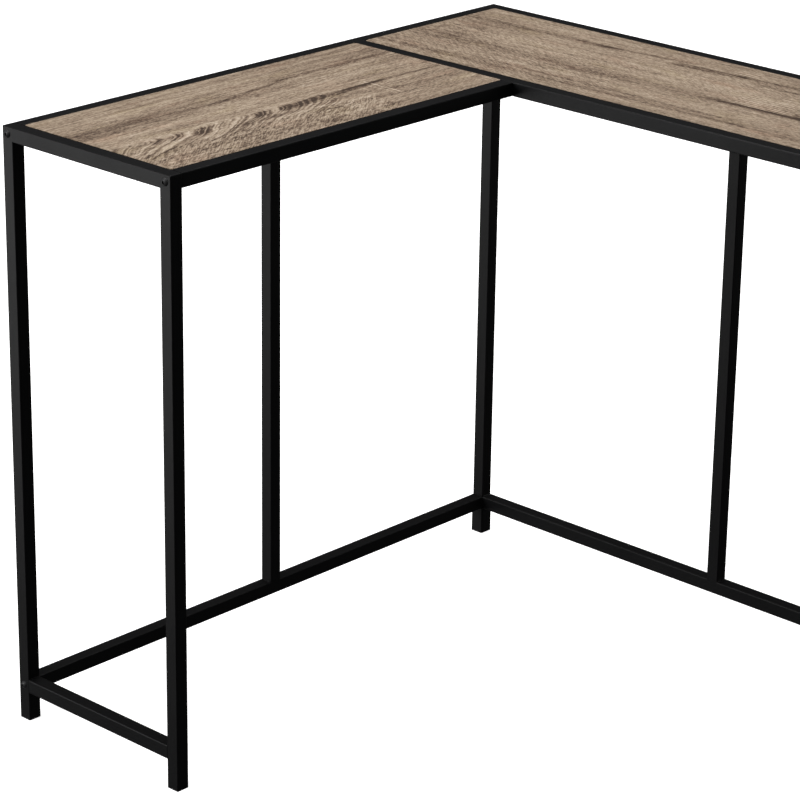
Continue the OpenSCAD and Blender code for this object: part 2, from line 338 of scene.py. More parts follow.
@dataclass(frozen=True)
class PowderCoat:
    """Satin black powder coat: fine orange peel, faint cloudiness and dust-fine speckle."""

    name: str = STEEL_SLOT
    colour: Colour = linear(13, 13, 14)
    roughness: float = 0.42
    specular: float = 0.22
    peel_size: float = 0.9 * MM
    peel_depth: float = 0.03 * MM
    peel_strength: float = 0.6
    clouds_per_metre: float = 14.0
    specks_per_metre: float = 2400.0

    def material(self) -> bpy.types.Material:
        """Makes the material.

        Returns:
            The material.
        """
        s = Shader(self.name)
        place = s.place()
        peel = s.noise(s.vector(*[coordinate / self.peel_size for coordinate in place]))
        cloud = s.even_noise(place, self.clouds_per_metre, 3.0)
        speck = s.even_noise(place, self.specks_per_metre, 1.0)
        tone = 1.0 + cloud * 0.35 + speck * 0.5
        shade = s.blend(1.0, self.colour, s.vector(tone, tone, tone), Blend.MULTIPLY)
        bump = s.node(
            "Bump", Strength=self.peel_strength, Distance=self.peel_depth,
            Height=peel + cloud * 0.4,
        )
        surface = s.node(
            "BsdfPrincipled", Base_Color=shade, Normal=bump.outputs[0],
            Specular_IOR_Level=self.specular,
            Roughness=self.roughness + peel * 0.10 + cloud * 0.12,
        )
        return s.finish(surface)


@dataclass(frozen=True)
class MouldedPlastic:
    """Matt black moulded plastic with a spark-eroded grain."""

    name: str = "foot_plastic"
    colour: Colour = linear(16, 16, 17)
    roughness: float = 0.55
    scuffed: Colour = linear(40, 40, 39)
    specular: float = 0.3
    grain_depth: float = 0.05 * MM
    grain_strength: float = 0.5
    grains_per_metre: float = 1800.0
    scuffs_per_metre: float = 60.0

    def material(self) -> bpy.types.Material:
        """Makes the material.

        Returns:
            The material.
        """
        s = Shader(self.name)
        place = s.place()
        grain = s.even_noise(place, self.grains_per_metre, 3.0, 0.6)
        scuff = s.even_noise(place, self.scuffs_per_metre, 4.0, 0.6).step(0.05, 0.3)
        colour = s.blend(scuff * 0.3, self.colour, self.scuffed)
        bump = s.node(
            "Bump", Strength=self.grain_strength, Distance=self.grain_depth, Height=grain)
        surface = s.node(
            "BsdfPrincipled", Base_Color=colour, Normal=bump.outputs[0],
            Specular_IOR_Level=self.specular,
            Roughness=self.roughness + grain * 0.15 + scuff * 0.1,
        )
        return s.finish(surface)


@dataclass(frozen=True)
class PlatedSteel:
    """Plated or blackened steel of a bolt, screw or insert, slightly cloudy and finely grained."""

    name: str
    colour: Colour
    stain: Colour
    roughness: float
    metallic: float
    grain_depth: float = 0.02 * MM
    grain_strength: float = 0.4
    grains_per_metre: tuple[float, float, float] = (3000.0, 3000.0, 900.0)
    clouds_per_metre: float = 240.0

    def material(self) -> bpy.types.Material:
        """Makes the material.

        Returns:
            The material.
        """
        s = Shader(self.name)
        place = s.place()
        cells = [along * per_metre for along, per_metre in zip(place, self.grains_per_metre)]
        fine = s.noise(s.vector(*cells))
        cloud = s.even_noise(place, self.clouds_per_metre, 3.0, 0.6)
        colour = s.blend(cloud.step(-0.1, 0.25), self.colour, self.stain)
        bump = s.node("Bump", Strength=self.grain_strength, Distance=self.grain_depth, Height=fine)
        surface = s.node(
            "BsdfPrincipled", Base_Color=colour, Normal=bump.outputs[0], Metallic=self.metallic,
            Roughness=self.roughness + cloud * 0.2 + fine * 0.08,
        )
        return s.finish(surface)


@dataclass(frozen=True)
class Streak:
    """A streak along the grain, in mm: dark where its strength is over 0, light where under."""

    start: float
    end: float
    across: float
    width: float
    strength: float
    rise: float = 0.0
    soft: float = 60.0


@dataclass(frozen=True)
class SawPatch:
    """A patch of saw marks across the grain, in mm."""

    start: float
    end: float
    low: float
    high: float
    strength: float = 1.0
    pitch: float = 5.2


@dataclass(frozen=True)
class Knot:
    """A knot with rings round it and a tail along the grain, in mm."""

    along: float
    across: float
    length: float
    width: float
    tail: float


@dataclass(frozen=True)
class Heart:
    """A dark heart of a flame, in mm: an oval that leans with the rings."""

    along: float
    across: float
    length: float
    width: float
    strength: float = 1.0
    lean: float = 0.75


@dataclass(frozen=True)
class Flame:
    """Half a cathedral figure, in mm: rings with round tips that sweep back along the grain."""

    start: float
    end: float
    edge: float
    reach: float
    hearts: tuple[Heart, ...] = ()
    sweep: float = 0.30
    curl: float = 1.45
    tip_sweep: float = 1.3
    tip_curl: float = 1.6
    ring: float = 6.5
    group: float = 3.5
    wander: float = 26.0
    edge_wander: float = 6.0
    fray: float = 2.5
    soft: float = 40.0


@dataclass(frozen=True)
class DashPatch:
    """A patch of short, slanting saw dashes, in mm. The slant is across over along."""

    start: float
    end: float
    low: float
    high: float
    slant: float
    strength: float
    soft: float = 30.0


@dataclass(frozen=True)
class Layer:
    """A layer of noise on a board: a cell's size in mm and how much the layer counts.

    The offset keeps the noise of one layer apart from the others'.
    """

    along: float
    across: float
    offset: float
    amount: float = 1.0
    detail: float = 1.0
    rough: float = 0.5


SLOW_BENDS = Layer(260.0, 60.0, 3.1, 26.0)
QUICK_BENDS = Layer(45.0, 14.0, 7.7, 4.0)
WARMTH = Layer(90.0, 26.0, 0.0, detail=2.0)
BROAD_BANDS = Layer(520.0, 34.0, 0.0, 0.45, 2.0)
BANDS = Layer(280.0, 9.5, 1.3, 0.55, 2.0, 0.55)
LINES = Layer(95.0, 3.4, 2.2, 0.65, 2.0, 0.6)
FIBRES = Layer(30.0, 1.5, 16.4, 0.6, 2.0, 0.6)
FLECKS = Layer(4.5, 2.6, 4.4, 1.1, 2.0, 0.65)
PORES = Layer(11.0, 1.3, 5.9)
PORE_CROWDS = Layer(120.0, 9.0, 8.8, detail=2.0)
RAGGED_EDGES = Layer(60.0, 3.0, 6.6, 1.0, 3.0, 0.65)
DASHES = Layer(11.0, 2.2, 17.6, 5.0, 1.0, 0.6)
FLAME_BENDS = Layer(80.0, 26.0, 9.9, detail=2.0)
FLAME_FRAYING = Layer(7.0, 2.5, 19.1, 1.0, 2.0, 0.6)
KNOT_BENDS = Layer(18.0, 12.0, 14.3, 0.5, 2.0)
SAW_CURVES = Layer(30.0, 24.0, 10.7)
SAW_GAPS = Layer(2.6, 7.0, 11.5, 1.6)
SAW_AREAS = Layer(110.0, 40.0, 13.9, detail=2.0)
SAW_WEAR = Layer(4.0, 10.0, 15.2)

OAK_TONES = (
    (0.02, linear(66, 52, 42)), (0.22, linear(108, 90, 75)), (0.42, linear(141, 123, 105)),
    (0.60, linear(164, 146, 126)), (0.80, linear(184, 166, 146)), (1.0, linear(202, 187, 169)),
)
ROSY = linear(240, 205, 190)
GREENISH = linear(225, 220, 180)


@dataclass(frozen=True)
class OakLaminate:
    """Rough-sawn oak print in grey-brown, with grain along the board.

    The pattern is worked out in mm from the board's corner at the top of its wall side: along runs
    with the grain and across starts at the wall side. The figure is on the top face only.
    """

    name: str
    corner: Vector
    along: Axis
    along_sign: float
    across: Axis
    across_sign: float
    size_mm: tuple[float, float]
    seed: float
    streaks: tuple[Streak, ...]
    saw_patches: tuple[SawPatch, ...]
    dash_patches: tuple[DashPatch, ...]
    banding: float = 1.0
    knots: tuple[Knot, ...] = ()
    flames: tuple[Flame, ...] = ()
    roughness: float = 0.5
    specular: float = 0.3
    middle_tone: float = 0.475
    ripple_mm: float = 3.4
    stroke_depth: float = 3.4
    pore_shade: float = 0.22
    saw_light: float = 0.14
    figure_shade: float = 0.42
    painted_edge_highlight_amount: float = 0.06
    # Painted highlight: how much the top face is lightened along its edges, standing in for light
    # caught by the eased edge.
    rim_mm: float = 1.6
    underside_shade: float = 0.06
    tint: float = 0.30
    relief: float = 0.25 * MM
    relief_strength: float = 0.6

    def material(self) -> bpy.types.Material:
        """Makes the material.

        Returns:
            The material.
        """
        s = Shader(self.name)
        place = s.place()
        u = (place[self.along.value] - self.corner[self.along.value]) * (self.along_sign / MM)
        v = (place[self.across.value] - self.corner[self.across.value]) * (self.across_sign / MM)
        flow = self.flow(u, v)
        saw = self.saw_marks(u, v)
        pores = self.pores(u, flow)
        inset = u.least(self.size_mm[0] - u).least(v).least(self.size_mm[1] - v)
        # Painted highlight: a band rim_mm wide along the top face's edges is made lighter.
        painted_edge_highlight = inset.step(self.rim_mm, 0.2)
        face = place[Axis.Z.value].step(self.corner.z - 2.0 * MM, self.corner.z - 1.0 * MM)
        grain = self.base_tone(u, v, flow)
        figure = self.figure(u, v, flow)
        # Saw marks and figure are print; the edge band added here is a painted highlight.
        worked = saw * self.saw_light - figure * self.figure_shade + painted_edge_highlight * self.painted_edge_highlight_amount
        plain = (1.0 - face) * self.underside_shade
        tone = grain - pores * self.pore_shade + worked * face - plain
        colour = s.node("ValToRGB", {"stops": OAK_TONES}, _0=tone).outputs["Color"]
        warm = self.sample(WARMTH, u, v)
        rosy = warm.step(0.02, 0.3) * self.tint
        greenish = warm.step(-0.02, -0.3) * self.tint
        colour = s.blend(rosy, colour, ROSY, Blend.MULTIPLY)
        colour = s.blend(greenish, colour, GREENISH, Blend.MULTIPLY)
        height = saw * 0.5 - pores * 0.9 + grain * 0.8
        bump = s.node(
            "Bump", Strength=self.relief_strength, Distance=self.relief, Height=height)
        surface = s.node(
            "BsdfPrincipled", Base_Color=colour, Normal=bump.outputs[0],
            Specular_IOR_Level=self.specular,
            Roughness=self.roughness + pores * 0.2 - tone * 0.08,
        )
        return s.finish(surface)

    def sample(self, layer: Layer, u: Value, v: Value) -> Value:
        """Samples one layer of noise.

        Args:
            layer: The layer.
            u: Length along, in mm.
            v: Length across, in mm.

        Returns:
            A number about 0 that stays within half the layer's amount.
        """
        s = u.shader
        where = s.vector(u / layer.along, v / layer.across, self.seed + layer.offset)
        found = s.noise(where, layer.detail, layer.rough)
        return found if layer.amount == 1.0 else found * layer.amount

    def flow(self, u: Value, v: Value) -> Value:
        """Bends the length across, in mm, so that grain lines wander as they run."""
        return v + self.sample(SLOW_BENDS, u, v) + self.sample(QUICK_BENDS, u, v)

    def base_tone(self, u: Value, v: Value, flow: Value) -> Value:
        """Adds up the quiet, even grain: broad bands, lines, fibres and flecks.

        Args:
            u: Length along, in mm.
            v: Length across, in mm.
            flow: Bent length across, in mm.

        Returns:
            A tone about 0.5.
        """
        broad = self.sample(BROAD_BANDS, u, flow)
        bands = self.sample(BANDS, u, flow)
        lines = self.sample(LINES, u, flow)
        fibres = self.sample(FIBRES, u, flow)
        flecks = self.sample(FLECKS, u, v)
        return (broad + bands + lines) * self.banding + fibres + flecks + self.middle_tone

    def pores(self, u: Value, flow: Value) -> Value:
        """Makes the short dark dashes where the oak's vessels are cut.

        Args:
            u: Length along, in mm.
            flow: Bent length across, in mm.

        Returns:
            A number from 0 to 1.
        """
        dashes = self.sample(PORES, u, flow)
        crowd = self.sample(PORE_CROWDS, u, flow).step(-0.15, 0.2)
        return dashes.step(0.05, 0.24) * (0.35 + crowd * 0.65)

    def figure(self, u: Value, v: Value, flow: Value) -> Value:
        """Adds up the board's own figure: streaks, flames, knots and slanting dashes.

        Args:
            u: Length along, in mm.
            v: Length across, in mm.
            flow: Bent length across, in mm.

        Returns:
            How dark the figure is.
        """
        ragged = self.sample(RAGGED_EDGES, u, flow)
        dark = v * 0.0
        for streak in self.streaks:
            slope = streak.rise / (streak.end - streak.start)
            line = streak.across + (u - streak.start) * slope
            near = (v + ragged * (2.0 + streak.width * 0.45)).bell(line, streak.width)
            length = u.window(streak.start, streak.end, streak.soft)
            dark = dark + near * length * (0.8 + ragged * 2.0) * streak.strength
        for flame in self.flames:
            dark = dark + self.flame_shade(u, v, flame)
        for knot in self.knots:
            dark = dark + self.knot_shade(u, v, knot)
        for patch in self.dash_patches:
            dashes = self.sample(DASHES, u, v - u * patch.slant).least(0.5).most(-0.5)
            reached = u.window(patch.start, patch.end, patch.soft)
            inside = reached * v.window(patch.low, patch.high, patch.soft)
            dark = dark + dashes * inside * patch.strength
        return dark

    def flame_shade(self, u: Value, v: Value, flame: Flame) -> Value:
        """Shades one flame.

        Args:
            u: Length along, in mm.
            v: Length across, in mm.
            flame: The flame's place and size.

        Returns:
            Its darkness.
        """
        wander = self.sample(FLAME_BENDS, u, v)
        fray = self.sample(FLAME_FRAYING, u, v)
        below = v - flame.edge + wander * flame.edge_wander
        depth = below.most(0.0)
        above = (0.0 - below).most(0.0)
        lag = (depth ** flame.curl) * flame.sweep + (above ** flame.tip_curl) * flame.tip_sweep
        swept = u + lag + wander * flame.wander + fray * flame.fray
        rings = self.sample(Layer(flame.ring, 120.0, 12.1), swept, depth)
        groups = self.sample(Layer(flame.ring * flame.group, 70.0, 18.2), swept, depth)
        span = u.window(flame.start, flame.end, flame.soft)
        skirt = depth.step(flame.reach * 1.9, flame.reach) * below.step(-7.0, 1.0)
        crisp = (rings * 6.0).least(0.75).most(-0.75)
        dark = (crisp * 0.75 + groups * 1.1) * skirt * span
        for heart in flame.hearts:
            dv = (v - heart.across) / heart.width
            du = (u - heart.along) / heart.length + dv * heart.lean
            away = (du * du + dv * dv).root() + fray * 0.35
            core = away.step(1.4, 0.5) * (0.85 + rings * 1.9)
            halo = away.bell(1.7, 0.25) * 0.25
            dark = dark + (core - halo) * heart.strength
        return dark

    def knot_shade(self, u: Value, v: Value, knot: Knot) -> Value:
        """Shades one knot.

        Args:
            u: Length along, in mm.
            v: Length across, in mm.
            knot: The knot's place and size.

        Returns:
            Its darkness.
        """
        wander = self.sample(KNOT_BENDS, u, v)
        du = (u - knot.along) / knot.length
        dv = (v - knot.across) / knot.width
        away = (du * du + dv * dv).root() + wander
        rings = (away * 15.0).sine() * 0.5 + 0.5
        tail_line = v.bell(knot.across + knot.width * 0.8, 4.0)
        tail = tail_line * u.window(knot.along - knot.tail, knot.along, 30.0)
        return rings * away.step(1.7, 0.5) * 0.7 + away.step(0.5, 0.1) * 0.6 + tail * 0.8

    def saw_marks(self, u: Value, v: Value) -> Value:
        """Makes saw marks: faint everywhere, with clear strokes in the board's patches.

        Args:
            u: Length along, in mm.
            v: Length across, in mm.

        Returns:
            A height about 0.
        """
        curve = self.sample(SAW_CURVES, u, v)
        ripple = ((u + curve * 9.0) * (2.0 * math.pi / self.ripple_mm)).sine()
        gaps = self.sample(SAW_GAPS, u, v)
        area = self.sample(SAW_AREAS, u, v).step(-0.1, 0.25)
        marks = ripple * (0.12 + area * 0.30) * (0.4 + gaps)
        for patch in self.saw_patches:
            inside = u.window(patch.start, patch.end, 6.0) * v.window(patch.low, patch.high, 9.0)
            stroke = ((u + curve * 5.0) * (2.0 * math.pi / patch.pitch)).sine().step(0.3, 0.9)
            worn = self.sample(SAW_WEAR, u, v) + 0.5
            marks = marks + inside * stroke * worn * (self.stroke_depth * patch.strength)
        return marks


# -------- mesh helpers


def new_piece(
    name: str, mesh: bmesh.types.BMesh, material: bpy.types.Material
) -> bpy.types.Object:
    """Turns a bmesh into a finished piece that rides on the desk.

    Args:
        name: Name of the piece.
        mesh: Its shape, in place.
        material: Its finish.

    Returns:
        The object.
    """
    data = bpy.data.meshes.new(name)
    mesh.to_mesh(data)
    mesh.free()
    data.materials.append(material)
    piece = bpy.data.objects.new(name, data)
    bpy.context.scene.collection.objects.link(piece)
    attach(piece, ROOT)
    LOG.info("%s: %d faces", name, len(data.polygons))
    return piece


def add_block(mesh: bmesh.types.BMesh, centre: Vector, size: Vector) -> list[bmesh.types.BMVert]:
    """Adds a block of the given size round a centre and returns its vertices."""
    place = Matrix.Translation(centre) @ Matrix.Diagonal((*size, 1.0))
    return bmesh.ops.create_cube(mesh, size=1.0, matrix=place)["verts"]


def islands(node: str) -> list[tuple[Vector, Vector]]:
    """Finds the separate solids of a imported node.

    Args:
        node: The node's name.

    Returns:
        The low and high corners of each solid, in the order of their low corners.
    """
    mesh = bmesh.new()
    mesh.from_mesh(bpy.data.objects[node].data)
    bmesh.ops.remove_doubles(mesh, verts=mesh.verts, dist=MERGE_DISTANCE)
    left = set(mesh.verts)
    found = []
    while left:
        reached = {left.pop()}
        waiting = list(reached)
        while waiting:
            vert = waiting.pop()
            for near in {edge.other_vert(vert) for edge in vert.link_edges} - reached:
                reached.add(near)
                waiting.append(near)
        left -= reached
        corners = [
            Vector([pick(vert.co[axis] for vert in reached) for axis in range(3)])
            for pick in (min, max)
        ]
        found.append((corners[0], corners[1]))
    mesh.free()
    return sorted(found, key=lambda corners: tuple(corners[0]))


def dress(node: str, material: bpy.types.Material) -> None:
    """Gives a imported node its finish.

    Args:
        node: The node's name.
        material: The finish.
    """
    mesh = bpy.data.objects[node].data
    mesh.materials.clear()
    mesh.materials.append(material)
    LOG.info("%s: dressed in %s", node, material.name)


# -------- the desk


@dataclass
class Joint:
    """A welded joint: the end of one tube on the side of another.

    The sides are those of the through tube on which the two make an inside corner. The joint is
    ground flush unless its seam is left to show.
    """

    at: Vector
    butting: Vector
    through: Axis
    sides: tuple[float, ...] = (-1.0, 1.0)
    ground: bool = True

    def flush(self) -> Vector:
        """The direction in which the two tubes' faces are flush."""
        return self.butting.cross(self.through.vector)


@dataclass
class Bead:
    """A weld bead: a round bar with a ripple along it and tapered ends."""

    start: Vector
    run: Vector
    radius: float = 0.95 * MM
    ripple: float = 1.2 * MM
    swell: float = 1.22
    first_width: float = 0.5
    last_width: float = 0.45
    sides: int = 10

    def add(self, mesh: bmesh.types.BMesh) -> None:
        """Extrudes the bead ring by ring into a mesh.

        Args:
            mesh: The mesh.
        """
        rings = max(6, 2 * round(self.run.length / self.ripple))
        turn = self.run.to_track_quat("Z", "Y").to_matrix().to_4x4()
        faces = bmesh.ops.create_circle(
            mesh, cap_ends=True, radius=self.radius * self.first_width, segments=self.sides,
            matrix=Matrix.Translation(self.start) @ turn,
        )["verts"][0].link_faces[:]
        bmesh.ops.reverse_faces(mesh, faces=faces)
        ripples = [1.0 if ring % 2 == 0 else 1.0 / self.swell for ring in range(rings - 1)]
        widths = [self.first_width, *ripples, self.last_width]
        for ring, (before, after) in enumerate(zip(widths, widths[1:])):
            # The first ring keeps its face, which closes the bead's near end.
            made = bmesh.ops.extrude_face_region(mesh, geom=faces, use_keep_orig=ring == 0)["geom"]
            faces = [item for item in made if isinstance(item, bmesh.types.BMFace)]
            verts = [item for item in made if isinstance(item, bmesh.types.BMVert)]
            middle = sum((vert.co for vert in verts), Vector()) / len(verts)
            bmesh.ops.scale(mesh, vec=Vector((1.0, 1.0, 1.0)) * (after / before), verts=verts,
                            space=Matrix.Translation(-middle))
            bmesh.ops.translate(mesh, verts=verts, vec=self.run / (len(widths) - 1))


@dataclass
class Welds:
    """The welds of one frame: ground flush on the outside, small ripples in the inside corners."""

    name: str
    joints: list[Joint]
    material: bpy.types.Material
    tube: float
    corner: float
    proud: float = 0.02 * MM
    overlap: float = 1.3

    def build(self) -> bpy.types.Object:
        """Builds every joint's ground seams and corner beads as one piece.

        Returns:
            The piece.
        """
        mesh = bmesh.new()
        for joint in self.joints:
            if joint.ground:
                self.add_ground_seams(mesh, joint)
            self.add_beads(mesh, joint)
        return new_piece(self.name, mesh, self.material)

    def add_ground_seams(self, mesh: bmesh.types.BMesh, joint: Joint) -> None:
        """Fills the groove that the through tube's round edge leaves on each flush face.

        Args:
            mesh: The welds' mesh.
            joint: The joint.
        """
        out = self.tube / 2 - self.corner / 2 + self.proud
        for side in (-1.0, 1.0):
            middle = joint.at + joint.flush() * side * out - joint.butting * (self.corner / 2)
            size = Vector([
                abs(joint.butting[i]) * self.corner * self.overlap
                + abs(joint.flush()[i]) * self.corner
                + joint.through.vector[i] * (self.tube - 2 * self.corner)
                for i in range(3)
            ])
            add_block(mesh, middle, size)

    def add_beads(self, mesh: bmesh.types.BMesh, joint: Joint) -> None:
        """Runs a bead along each inside corner of the joint.

        Args:
            mesh: The welds' mesh.
            joint: The joint.
        """
        run = joint.flush() * (self.tube - 2 * self.corner)
        for side in joint.sides:
            corner = joint.at + joint.through.vector * side * (self.tube / 2)
            Bead(corner - run / 2, run).add(mesh)


@dataclass
class TabWelds:
    """Two short beads that hold each support tab to its rail, under the tab."""

    name: str
    tabs: str
    board: str
    material: bpy.types.Material
    stitch: float = 8.0 * MM
    inset: float = 1.5 * MM
    radius: float = 0.8 * MM

    def build(self) -> bpy.types.Object:
        """Builds the beads of all the tabs as one piece.

        Returns:
            The piece.
        """
        mesh = bmesh.new()
        board_low, board_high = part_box(self.board)
        for low, high in islands(self.tabs):
            across = 0 if low.x < board_low.x or high.x > board_high.x else 1
            along = 1 - across
            root = low[across] if low[across] < board_low[across] else high[across]
            for end, way in ((low[along], 1.0), (high[along], -1.0)):
                start = Vector((0.0, 0.0, low.z))
                start[across] = root
                start[along] = end + way * self.inset
                run = Vector((0.0, 0.0, 0.0))
                run[along] = way * self.stitch
                Bead(start, run, radius=self.radius).add(mesh)
        return new_piece(self.name, mesh, self.material)


@dataclass
class Frame:
    """The steel frame: packed tubes in powder coat, with cap plates and welds added."""

    coat: bpy.types.Material
    tubes: tuple[str, ...] = (
        "left_wall_leg", "left_inner_leg", "left_end_rail", "left_end_stretcher",
        "left_back_rail", "left_inner_rail", "left_lower_stretcher", "left_mid_upright",
        "corner_post", "right_wall_leg", "right_inner_leg", "right_end_rail",
        "right_end_stretcher", "right_back_rail", "cross_rail", "right_lower_stretcher",
        "right_mid_upright", "left_board_tabs", "right_board_tabs",
    )
    corner: float = 1.2 * MM
    cap_ease: float = 0.98
    cap_segments: int = 4
    tube: float = field(init=False)

    def __post_init__(self) -> None:
        """Reads the tube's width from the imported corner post."""
        low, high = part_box("corner_post")
        self.tube = high.x - low.x

    def build(self) -> None:
        """Dresses the tubes and adds the caps and welds."""
        for node in self.tubes:
            dress(node, self.coat)
        self.build_caps()
        for name, joints in self.welded_joints().items():
            Welds(name, joints, self.coat, self.tube, self.corner).build()
        for side in ("left", "right"):
            TabWelds(f"{side}_tab_welds", f"{side}_board_tabs", f"{side}_board", self.coat).build()

    def build_caps(self) -> None:
        """Replaces the plain cap plates with ones whose free edges are eased."""
        across_x, across_y = Axis.X.vector, Axis.Y.vector
        caps = {
            "left_wall_leg": across_x, "left_inner_leg": -across_x, "corner_post": across_x,
            "right_wall_leg": -across_y, "right_inner_leg": across_y,
        }
        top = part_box("leg_caps")[1].z
        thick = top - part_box("leg_caps")[0].z
        mesh = bmesh.new()
        for leg, weld in caps.items():
            low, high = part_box(leg)
            centre = Vector(((low.x + high.x) / 2, (low.y + high.y) / 2, top - thick / 2))
            verts = add_block(mesh, centre, Vector((self.tube, self.tube, thick)))
            edges = dict.fromkeys(edge for vert in verts for edge in vert.link_edges)
            bmesh.ops.bevel(
                mesh, geom=[edge for edge in edges if self.is_free(edge, centre, weld)],
                offset=self.corner * self.cap_ease, offset_type="OFFSET",
                segments=self.cap_segments, profile=0.5, affect="EDGES", material=-1,
                clamp_overlap=True,
            )
        piece = new_piece("leg_cap_plates", mesh, self.coat)
        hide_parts("leg_caps")

    def is_free(self, edge: bmesh.types.BMEdge, centre: Vector, weld: Vector) -> bool:
        """Says whether an edge of a cap is eased: every top or upright edge off the weld.

        Args:
            edge: The edge.
            centre: Middle of the cap.
            weld: Direction in which a rail is welded to the leg.

        Returns:
            Whether it is eased.
        """
        middle = (edge.verts[0].co + edge.verts[1].co) / 2 - centre
        on_weld = middle.dot(weld) > self.tube * 0.4
        at_bottom = middle.z < -0.1 * MM
        return not on_weld and not at_bottom

    def welded_joints(self) -> dict[str, list[Joint]]:
        """Lists the welded joints of each frame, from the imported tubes' own boxes.

        Returns:
            The joints, by the name of the welds' piece.
        """
        # Each tube comes with the number of its ends that are welded.
        rails = {
            "left_end_welds": (("left_end_rail", 2), ("left_end_stretcher", 2)),
            "right_end_welds": (("right_end_rail", 2), ("right_end_stretcher", 2)),
            "left_back_welds": (("left_mid_upright", 2),),
            "right_back_welds": (
                ("right_mid_upright", 2), ("right_back_rail", 1), ("right_lower_stretcher", 1)),
        }
        found: dict[str, list[Joint]] = {}
        for name, tubes in rails.items():
            found[name] = []
            for tube, ends in tubes:
                low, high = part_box(tube)
                run = max(Axis, key=lambda axis: high[axis.value] - low[axis.value])
                centre = (low + high) / 2
                through = Axis.Z
                if run is Axis.Z:
                    through = Axis.Y if tube.startswith("left") else Axis.X
                half = run.vector * ((high - low)[run.value] / 2)
                sides = (-1.0,) if tube.endswith("_rail") else (-1.0, 1.0)
                ground = not tube.endswith("end_stretcher")
                found[name].append(Joint(centre - half, run.vector, through, sides, ground))
                if ends == 2:
                    found[name].append(Joint(centre + half, -run.vector, through, sides, ground))
        return found


